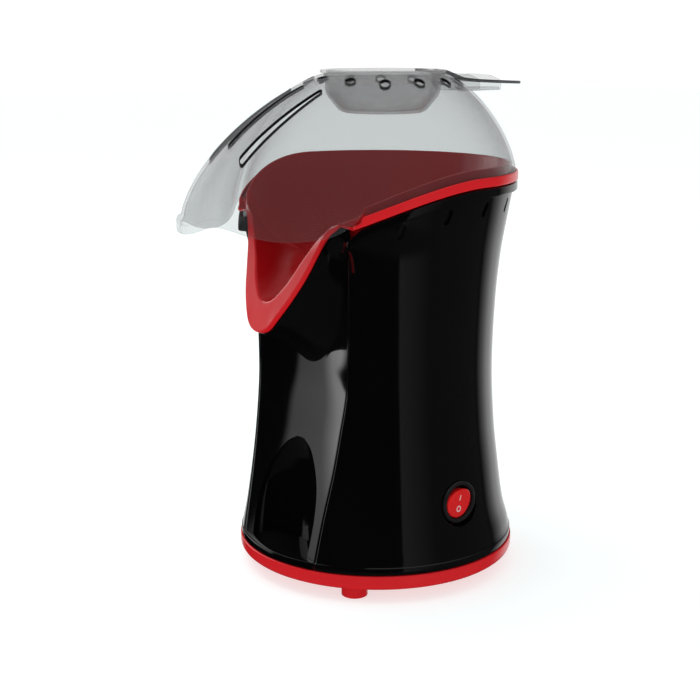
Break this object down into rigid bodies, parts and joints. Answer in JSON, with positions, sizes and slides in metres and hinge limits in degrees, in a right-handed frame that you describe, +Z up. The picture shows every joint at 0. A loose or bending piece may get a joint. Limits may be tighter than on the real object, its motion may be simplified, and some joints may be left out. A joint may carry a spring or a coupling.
{
  "type": "popcorn maker",
  "caption": "Hot-air popcorn maker: waisted black housing on a round red base, red funnel with front chute, clear domed hood lid, measuring cup in the lid and a rocker switch.",
  "frame": {"origin": "on the supporting surface, under the middle of the overall footprint; the housing's round axis is 9.8 mm behind it", "axes": "+Z up, front with the chute and the hood's nose towards -Y, switch on the +X side"},
  "size_m": [0.163, 0.2436, 0.2878],
  "materials": {
    "red_plastic": "glossy moulded",
    "black_plastic": "high gloss moulded",
    "clear_lid": "clear smoke-tinted moulded plastic",
    "cup_smoke": "translucent grey moulded plastic",
    "rocker_red": "translucent glossy",
    "dark_plastic": "satin moulded",
    "aluminium": "spun, satin",
    "steel": "zinc plated",
    "brass": "plain",
    "mica": "laminated",
    "nichrome": "oxidised wire",
    "board": "laminate",
    "rubber": "matt"
  },
  "bodies": {
    "housing": {"base_plate": "red_plastic", "rear_housing": "black_plastic", "front_panel": "black_plastic", "funnel_chute": "red_plastic", "switch_housing": "dark_plastic", "switch_terminal_front": "brass", "switch_terminal_rear": "brass", "popping_chamber": "aluminium", "chamber_ring": "steel", "heat_shield": "steel", "insulator_ring": "mica", "heater_plate_a": "mica", "heater_plate_b": "mica", "heater_coil": "nichrome", "fan_duct": "dark_plastic", "motor_body": "steel", "rectifier_board": "board", "diode_1": "dark_plastic", "diode_2": "dark_plastic", "diode_3": "dark_plastic", "diode_4": "dark_plastic", "thermostat": "steel", "thermal_fuse": "aluminium", "cord_gland": "rubber", "lead_inlet_to_switch": "rubber", "lead_inlet_to_heater": "rubber", "lead_switch_to_motor": "rubber", "base_screw_1": "steel", "base_screw_2": "steel", "base_screw_3": "steel", "base_screw_4": "steel", "duct_screw_1": "steel", "ring_screw_1": "steel", "duct_screw_2": "steel", "ring_screw_2": "steel", "duct_screw_3": "steel", "ring_screw_3": "steel", "motor_screw_1": "steel", "motor_screw_2": "steel"},
    "lid": {"lid_cover": "clear_lid"},
    "cup": {"measuring_cup": "cup_smoke"},
    "rocker": {"switch_rocker": "rocker_red"},
    "fan": {"fan_impeller": "dark_plastic", "motor_shaft": "steel"}
  },
  "joints": [
    {"name": "lid_lift", "type": "slide", "parent": "housing", "child": "lid", "axis": [0, 0, 1], "range_m": [0, 0.12]},
    {"name": "cup_lift", "type": "slide", "parent": "lid", "child": "cup", "axis": [0, 0, 1], "range_m": [0, 0.1]},
    {"name": "rocker_hinge", "type": "hinge", "parent": "housing", "child": "rocker", "pos_m": [0.0706, 0.0098, 0.051], "axis": [0, -1, 0], "range_deg": [0, 20]},
    {"name": "fan_spin", "type": "hinge", "parent": "housing", "child": "fan", "pos_m": [0, 0.0148, 0.06], "axis": [0, 0, 1], "continuous": true}
  ]
}
